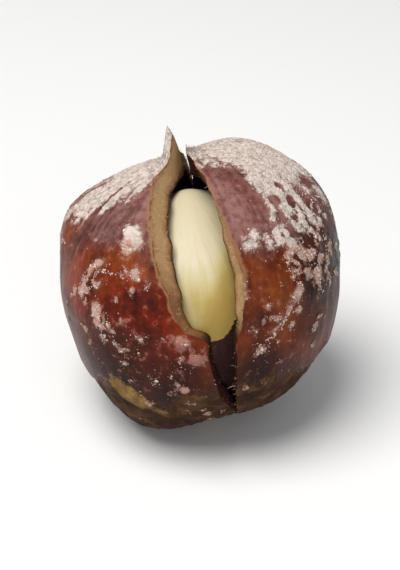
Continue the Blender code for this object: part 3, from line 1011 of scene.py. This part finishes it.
def wallMaterial():
    look = wallLook
    material, tree, shader, place = startMaterial("broken_wall")
    shader.inputs["Specular IOR Level"].default_value = look["shine"]
    coarse = noiseOf(tree, place, look["coarse"], 3, 0.6)
    fine = noiseOf(tree, place, look["fine"], 4, 0.65)
    shifted = sumOf(tree, (storedValue(tree, "across"), 1.0), (coarse, 0.40), (0.5, -0.40))
    colour = rampOf(tree, shifted, look["layers"])
    colour = mixOf(tree, between(tree, fine, 0.52, 0.72, 0, 0.55), colour, look["pale"])
    colour = mixOf(tree, between(tree, fine, 0.44, 0.28, 0, 0.45), colour, look["dark"])
    # painted shade low in the split and right of the tip
    wallShade = sumOf(tree, (storedValue(tree, "wallShade"), 1.0), (coarse, 0.30), (0.5, -0.30))
    colour = mixOf(tree, between(tree, wallShade, 0.05, 0.50, 0, 0.80), colour, look["wallHalfShade"])
    colour = mixOf(tree, between(tree, wallShade, 0.45, 0.95, 0, 0.96), colour, look["wallShade"])
    relief = sumOf(tree, (coarse, 1.0), (fine, 1.0))
    finishMaterial(tree, shader, colour, look["gloss"], relief, look["bump"])
    return material


def liningMaterial():
    look = liningLook
    material, tree, shader, place = startMaterial("shell_lining")
    fibres = noiseOf(tree, storedPlace(tree, "grain"), look["fibre"], 4, 0.6)
    fine = noiseOf(tree, place, look["fine"], 3, 0.6)
    tone = sumOf(tree, (fibres, 0.7), (fine, 0.3))
    colour = rampOf(tree, tone, look["tones"])
    finishMaterial(tree, shader, colour, look["gloss"], tone, look["bump"])
    return material


kernelLook = {
    # from shaded olive to lit cream, picked by the painted light
    "tones": (
        (0.20, (0.390, 0.260, 0.060)), (0.40, (0.450, 0.325, 0.090)), (0.60, (0.570, 0.475, 0.225)),
        (0.80, (0.640, 0.565, 0.385)),
    ),
    # the furrows' olive is partly their own colour, partly painted shade in the creases
    "furrow": (0.450, 0.320, 0.085, 1),
    "scrap": (0.26, 0.115, 0.045, 1),
    # the brown skin's tones, darkened to near black as painted shade low in the split
    "skin": (
        (0.36, (0.016, 0.004, 0.003)), (0.54, (0.045, 0.011, 0.007)), (0.70, (0.140, 0.052, 0.030)),
    ),
    "wrinkle": 0.55,  # sizes in mm
    "cloud": 2.2,
    "fine": 0.16,
    "gloss": 0.42,
    "shine": 0.35,
    "bump": 0.035,
    "depth": (0.12, (1.0, 0.7, 0.35), 0.5),  # how much light sinks in, how far by colour, size in mm
}


def kernelMaterial():
    look = kernelLook
    material, tree, shader, place = startMaterial("kernel_flesh")
    weight, radius, scale = look["depth"]
    shader.inputs["Subsurface Weight"].default_value = weight
    shader.inputs["Subsurface Radius"].default_value = radius
    shader.inputs["Subsurface Scale"].default_value = scale * mm
    shader.inputs["Specular IOR Level"].default_value = look["shine"]
    wrinkles = noiseOf(tree, storedPlace(tree, "grain"), look["wrinkle"], 3)
    clouds = noiseOf(tree, place, look["cloud"], 3)
    fine = noiseOf(tree, place, look["fine"], 3)
    tone = sumOf(tree, (storedValue(tree, "paintedLight"), 1.0), (clouds, 0.35), (wrinkles, 0.25), (0.5, -0.60))
    colour = rampOf(tree, tone, look["tones"])
    cloudy = between(tree, clouds, 0.3, 0.6, 0.15, 0.55)
    valley = mathOf(tree, "MULTIPLY", storedValue(tree, "furrow"), cloudy)
    colour = mixOf(tree, valley, colour, look["furrow"])
    scraps = between(tree, sumOf(tree, (clouds, 0.6), (fine, 0.4)), 0.655, 0.70, 0, 0.65)
    colour = mixOf(tree, scraps, colour, look["scrap"])
    skinAndShadeColour = rampOf(tree, sumOf(tree, (wrinkles, 0.6), (fine, 0.4)), look["skin"])
    skinAndShade = sumOf(tree, (storedValue(tree, "skinAndShade"), 1.0), (fine, 0.5), (0.5, -0.5))
    skinAndShade = between(tree, skinAndShade, 0.35, 0.65)
    colour = mixOf(tree, skinAndShade, colour, skinAndShadeColour)
    rough = between(tree, wrinkles, 0.3, 0.7, look["gloss"] + 0.12, look["gloss"])
    rough = mathOf(tree, "MAXIMUM", rough, mathOf(tree, "MULTIPLY", skinAndShade, 0.8))
    relief = sumOf(tree, (wrinkles, 1.0), (fine, 0.35), (skinAndShade, 0.9))
    finishMaterial(tree, shader, colour, rough, relief, look["bump"])
    return material


def saltMaterial():
    look = salt
    material, tree, shader, place = startMaterial("dried_salt")
    fine = noiseOf(tree, place, look["fine"], 3)
    tone = sumOf(tree, (storedValue(tree, "tone"), 1.0), (fine, 0.5), (0.5, -0.5))
    colour = mixOf(tree, tone, look["dark"], look["pale"])
    finishMaterial(tree, shader, colour, look["gloss"], fine, look["bump"])
    return material


def strandMaterial(name, look):
    material, tree, shader, place = startMaterial(name)
    tone = sumOf(tree, (storedValue(tree, "tone"), 1.0), (noiseOf(tree, place, 0.1), 0.4))
    colour = mixOf(tree, tone, look["dark"], look["pale"])
    finishMaterial(tree, shader, colour, look["gloss"], noiseOf(tree, place, 0.05), 0.01)
    return material


farOut = 20 * mm  # well outside the nut


def surfaceUnder(tree, centre, facing):  # point, normal and face of the skin in this direction
    return tree.ray_cast(centre + facing * farOut, -facing)[:3]


def randomFacing(draw):
    z = draw.uniform(-1, 1)
    turn = draw.uniform(0, 2 * math.pi)
    level = math.sqrt(1 - z * z)
    return Vector((level * math.cos(turn), level * math.sin(turn), z))


def addGrain(net, centre, normal, size, draw, tone):  # a crushed little crystal, partly sunk
    turn = Matrix.Rotation(draw.uniform(0, 6.3), 3, normal) @ normal.to_track_quat("Z", "Y").to_matrix()
    tilt = Euler((draw.gauss(0, 0.35), draw.gauss(0, 0.35), 0)).to_matrix()
    half = Vector(size * draw.uniform(*share) for share in ((0.7, 1.2), (0.55, 1.0), (0.22, 0.5))) / 2
    corners = []
    for x in (-1, 1):
        for y in (-1, 1):
            for z in (-1, 1):
                narrow = 0.72 if z > 0 else 1.0
                c = Vector((x * half.x * narrow, y * half.y * narrow, z * half.z))
                c = Vector(v * draw.uniform(0.72, 1.12) for v in c)
                place = centre + (turn @ (tilt @ c) + normal * half.z * 0.35) * mm
                corners.append(addPoint(net, place, {"tone": tone}))
    a, b, c, d, e, f, g, h = corners
    for face in ((a, b, d, c), (e, g, h, f), (a, e, f, b), (c, d, h, g), (a, c, g, e), (b, f, h, d)):
        addFace(net, face)


def addLump(net, centre, normal, size, draw, tone, ball):  # a rounded clot of crust
    points, faces = ball
    turn = normal.to_track_quat("Z", "Y").to_matrix()
    shift = Vector((draw.uniform(-50, 50), draw.uniform(-50, 50), 0))
    wide = Vector(size * draw.uniform(*share) for share in ((0.8, 1.4), (0.7, 1.1), (0.28, 0.5)))
    first = len(net["points"])
    for p in points:
        rough = 1 + 0.45 * noise.noise(p * 1.6 + shift)
        q = Vector((p.x * wide.x, p.y * wide.y, p.z * wide.z)) * rough / 2
        addPoint(net, centre + turn @ q * mm, {"tone": tone})
    for face in faces:
        addFace(net, tuple(first + i for i in face))


def smallBall():
    work = bmesh.new()
    bmesh.ops.create_icosphere(work, subdivisions=2, radius=1.0)
    ball = [v.co.copy() for v in work.verts], [tuple(v.index for v in f.verts) for f in work.faces]
    work.free()
    return ball


def makeSalt(shell, tree, centre, material):
    draw = random.Random(salt["seed"])
    crust = newNet("tone")
    ball = smallBall()
    column, finishes, faces = shell["values"]["salt"], shell["finishes"], shell["faces"]
    base, growth, power = salt["chance"]
    low, high = salt["grainSize"]
    grains = lumps = 0
    while grains < salt["grains"] or lumps < salt["lumps"]:
        point, normal, face = surfaceUnder(tree, centre, randomFacing(draw))
        if point is None or finishes[face] != skin or point.z < salt["clearance"] * mm:
            continue
        amount = sum(column[i] for i in faces[face]) / len(faces[face])
        clumped = 0.5 + 0.5 * wobble(point / mm, 0.5, 51.0)
        chance = (base + growth * min(1.0, amount) ** power) * clumped ** 1.5
        if draw.random() > chance:
            continue
        tone = draw.uniform(0.0, 0.6) + 0.4 * min(1.0, amount)
        if lumps < salt["lumps"] and amount > 0.25 and draw.random() < 0.08:
            addLump(crust, point, normal, draw.uniform(*salt["lumpSize"]), draw, tone, ball)
            lumps += 1
        elif grains < salt["grains"]:
            addGrain(crust, point, normal, low + (high - low) * draw.random() ** 1.8, draw, tone)
            grains += 1
    for middle, right, up, radius, start, sweep, amount in saltRings:
        for _ in range(int(radius * sweep * 0.32 * amount)):
            angle = math.radians(start + draw.random() * sweep)
            away = (radius + draw.gauss(0, 0.07)) / nut["bodyRadius"]
            facing = (middle + (right * math.cos(angle) + up * math.sin(angle)) * away).normalized()
            point, normal, face = surfaceUnder(tree, centre, facing)
            if point is not None and finishes[face] == skin:
                addGrain(crust, point, normal, draw.uniform(0.06, 0.17), draw, draw.uniform(0.3, 1.0))
    makePiece(crust, "salt_crust", [material], turnOut=False)


def addStrand(net, path, thick, tone):  # a three-sided hair or splinter, fine at its end
    rings, thirds = [], [math.tau * n / 3 for n in range(3)]
    for n, place in enumerate(path[:-1]):
        ahead = (path[n + 1] - place).normalized()
        aside = ahead.orthogonal().normalized()
        across = ahead.cross(aside)
        size = thick * (1 - 0.75 * n / (len(path) - 1)) / 2
        corners = [aside * math.cos(turn) + across * math.sin(turn) for turn in thirds]
        rings.append([addPoint(net, place + c * size, {"tone": tone}) for c in corners])
    for ring, after in zip(rings, rings[1:]):
        stitchRings(net, ring, after)
    closeRing(net, rings[-1], addPoint(net, path[-1], {"tone": tone}))
    addFace(net, tuple(rings[0]))


tipHair = {
    "hairs": 1500,
    "spread": 6.5,  # degrees from the tip
    "length": (0.12, 0.32),
    "thick": 0.024,
    "steps": 4,
    "seed": 7,
    "dark": (0.17, 0.11, 0.07, 1),
    "pale": (0.40, 0.32, 0.25, 1),
    "gloss": 0.7,
}


def makeDown(shell, tree, centre, material):  # the short grey down round the tip
    draw = random.Random(tipHair["seed"])
    fuzz = newNet("tone")
    tip = nutTurn @ tipUp
    for _ in range(tipHair["hairs"]):
        away = Vector((draw.gauss(0, 1), draw.gauss(0, 1), draw.gauss(0, 1)))
        facing = (tip + away * math.radians(tipHair["spread"])).normalized()
        point, normal, face = surfaceUnder(tree, centre, facing)
        if point is None or shell["finishes"][face] != skin:
            continue
        toTip = tip - normal * tip.dot(normal) + away * 0.25
        lean = (toTip.normalized() + away * 0.22).normalized()
        length = draw.uniform(*tipHair["length"]) * mm
        path = [point - normal * 0.02 * mm]
        for n in range(1, tipHair["steps"] + 1):
            t = n / tipHair["steps"]
            rise = normal * math.sin(1.6 * t) * 0.14 * length
            path.append(point + lean * length * t + rise)
        addStrand(fuzz, path, tipHair["thick"] * draw.uniform(0.7, 1.2) * mm, draw.random())
    makePiece(fuzz, "tip_down", [material], turnOut=False)


splinters = {
    "count": 240,
    "length": (0.15, 0.75),
    "thick": 0.045,
    "steps": 4,
    "seed": 19,
    "dark": (0.30, 0.16, 0.07, 1),
    "pale": (0.62, 0.44, 0.25, 1),
    "gloss": 0.8,
}


def makeSplinters(shell, material):  # torn fibres standing from the broken faces
    draw = random.Random(splinters["seed"])
    torn = newNet("tone")
    faces = [f for f, finish in zip(shell["faces"], shell["finishes"]) if finish == brokenFace]
    points = shell["points"]
    for face in draw.sample(faces, splinters["count"]):
        a, b, c = (points[i] for i in face[:3])
        normal = (b - a).cross(c - b).normalized()
        middle = (a + b + c) / 3
        if normal.x * (1 if middle.x < 0 else -1) < 0:
            normal = -normal
        length = draw.uniform(*splinters["length"]) * draw.random() * mm
        along = Vector((0.15 * normal.x, draw.gauss(0, 0.6), draw.gauss(0, 0.6)))
        lean = (normal * draw.uniform(0.1, 0.7) + along).normalized()
        path = [middle - normal * 0.03 * mm]
        bend = Vector((0, draw.gauss(0, 0.25), draw.gauss(-0.1, 0.25)))
        for n in range(1, splinters["steps"] + 1):
            t = n / splinters["steps"]
            path.append(middle + (lean + bend * t * t) * length * t)
        addStrand(torn, path, splinters["thick"] * draw.uniform(0.5, 1.3) * mm, draw.random())
    makePiece(torn, "torn_fibres", [material], turnOut=False)


scraps = {  # thin torn pieces of papery skin in the mouth of the split
    "places": (  # half, angle round the seam, degrees in from the lip, across and along in mm, twist
        (-1, 7, 1.5, 0.55, 0.75, 0.3), (-1, 10, 4.0, 0.70, 0.55, 1.1),
        (-1, 13, 1.0, 0.45, 0.80, -0.5), (1, 9, 2.5, 0.60, 0.60, 0.9),
        (1, 15, 1.0, 0.40, 0.70, -0.8), (-1, -6, 2.0, 0.45, 0.50, 0.6),
    ),
    "thick": 0.045,
    "steps": 6,
    "seed": 5,
    "dark": (0.09, 0.035, 0.022, 1),
    "pale": (0.34, 0.19, 0.12, 1),
    "gloss": 0.7,
}


def makeScraps(material):
    draw = random.Random(scraps["seed"])
    paper = newNet("tone")
    steps = scraps["steps"]
    for side, angle, inward, wide, tall, twist in scraps["places"]:
        radius = liningRadius(inHalf(0, angle, 0.0))
        lip = lipLatitudeAt(side, angle, radius, bevelAt(side, angle), split["innerSeed"])
        latitude = lip + math.radians(inward)
        d = inHalf(side, angle, latitude)
        root = opened(side, angle, math.cos(latitude), d, liningRadius(d) - 0.02)
        inside = -(nutTurn @ d)
        across = Vector((-side, 0, 0)).lerp(inside, 0.35).normalized()
        along = Matrix.Rotation(twist, 3, inside) @ inside.cross(across).normalized()
        out = across.cross(along).normalized()
        curl, tone = draw.uniform(0.5, 1.0), draw.uniform(0.2, 0.9)
        sheets = []
        for face in (0.5, -0.5):
            sheet = []
            for i in range(steps + 1):
                for j in range(steps + 1):
                    u, v = i / steps, 2 * j / steps - 1
                    torn = 1 + 0.35 * noise.noise(Vector((3 * u, 3 * v, angle)))
                    bend = curl * wide * u * u + 0.25 * tall * v * v
                    place = across * wide * u * torn + along * tall * v * torn / 2 * (1 - 0.35 * u)
                    crumple = 0.06 * noise.noise(Vector((5 * u, 5 * v, angle + 9)))
                    place += out * (bend + face * scraps["thick"] + crumple)
                    sheet.append(addPoint(paper, root + place * mm, {"tone": tone + 0.3 * u}))
            sheets.append(sheet)
        row = steps + 1
        for i in range(steps):
            for j in range(steps):
                a = i * row + j
                square = (a, a + row, a + row + 1, a + 1)
                addFace(paper, tuple(sheets[0][n] for n in square))
                addFace(paper, tuple(sheets[1][n] for n in reversed(square)))
        rim = list(range(row)) + [i * row + steps for i in range(1, row)]
        rim += [steps * row + j for j in range(steps - 1, -1, -1)]
        rim += [i * row for i in range(steps - 1, 0, -1)]
        for n, m in zip(rim, rim[1:] + rim[:1]):
            addFace(paper, (sheets[0][n], sheets[0][m], sheets[1][m], sheets[1][n]))
    makePiece(paper, "papery_scraps", [material])


stage = {
    "floorSize": 3.0,
    "floorBlocks": 24,
    "elevation": 32,
    "distance": 0.093,
    "aim": (0.0, 0.0, 0.0090),
    "widthShare": 0.70,  # of the picture's width that the nut takes
    "lights": (  # name, place, size, watts, colour
        ("soft_box", (-0.085, -0.055, 0.27), 0.20, 0.83, (1.0, 0.985, 0.96)),
        ("front_fill", (0.16, -0.26, 0.12), 0.24, 0.15, (0.97, 0.985, 1.0)),
    ),
    "room": (0.95, 0.97, 1.0, 1),
    "roomLight": 0.34,
    "floorDark": (0.86, 0.86, 0.855, 1),
    "floorPale": (0.89, 0.89, 0.885, 1),
}


def makeFloor():
    floor = newNet()
    blocks, size = stage["floorBlocks"], stage["floorSize"]
    for i in range(blocks + 1):
        for j in range(blocks + 1):
            addPoint(floor, Vector((size * (i / blocks - 0.5), size * (j / blocks - 0.5), -0.01 * mm)))
    for i in range(blocks):
        for j in range(blocks):
            n = i * (blocks + 1) + j
            addFace(floor, (n, n + blocks + 1, n + blocks + 2, n + 1))
    mesh = bpy.data.meshes.new("floor")
    mesh.from_pydata(floor["points"], [], floor["faces"])
    piece = bpy.data.objects.new("floor", mesh)
    bpy.context.scene.collection.objects.link(piece)
    material, tree, shader, place = startMaterial("pale_floor")
    colour = mixOf(tree, noiseOf(tree, place, 60, 2), stage["floorDark"], stage["floorPale"])
    finishMaterial(tree, shader, colour, 0.75, noiseOf(tree, place, 0.8, 2), 0.01)
    mesh.materials.append(material)


def addLight(name, place, aim, size, watts, colour):
    lamp = bpy.data.lights.new(name, "AREA")
    lamp.shape = "DISK"
    lamp.size = size
    lamp.energy = watts
    lamp.color = colour
    piece = bpy.data.objects.new(name, lamp)
    piece.location = place
    piece.rotation_euler = (Vector(place) - Vector(aim)).to_track_quat("Z", "Y").to_euler()
    bpy.context.scene.collection.objects.link(piece)


def makeStudio():
    aim = Vector(stage["aim"])
    for name, place, size, watts, colour in stage["lights"]:
        addLight(name, place, aim, size, watts, colour)
    world = bpy.data.worlds.new("pale_room")
    world.use_nodes = True
    room = world.node_tree.nodes["Background"]
    room.inputs["Color"].default_value = stage["room"]
    room.inputs["Strength"].default_value = stage["roomLight"]
    bpy.context.scene.world = world

    lens = bpy.data.cameras.new("photo_camera")
    lens.sensor_fit = "HORIZONTAL"
    lens.sensor_width = 36
    low, high = cadBox
    lens.lens = lens.sensor_width * stage["widthShare"] * stage["distance"] / (high.x - low.x)
    lens.clip_start = 0.005
    camera = bpy.data.objects.new("photo_camera", lens)
    rise = math.radians(stage["elevation"])
    back = Vector((0, -math.cos(rise), math.sin(rise)))
    camera.location = aim + back * stage["distance"]
    camera.rotation_euler = back.to_track_quat("Z", "Y").to_euler()
    bpy.context.scene.collection.objects.link(camera)
    bpy.context.scene.camera = camera
    bpy.context.scene.view_settings.view_transform = "Standard"


print("weaving the shell")
shellNet = makeShell([skinMaterial(), wallMaterial(), liningMaterial()])
print("turning the kernel")
makeKernel(kernelMaterial())
print("drying the salt")
skinTree = BVHTree.FromPolygons(shellNet["points"], shellNet["faces"])
nutMiddle = sum(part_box("kernel"), Vector()) / 2
makeSalt(shellNet, skinTree, nutMiddle, saltMaterial())
print("adding down and torn fibres")
makeDown(shellNet, skinTree, nutMiddle, strandMaterial("grey_down", tipHair))
makeSplinters(shellNet, strandMaterial("torn_wood", splinters))
makeScraps(strandMaterial("papery_skin", scraps))
print("setting the stage")
makeFloor()
makeStudio()
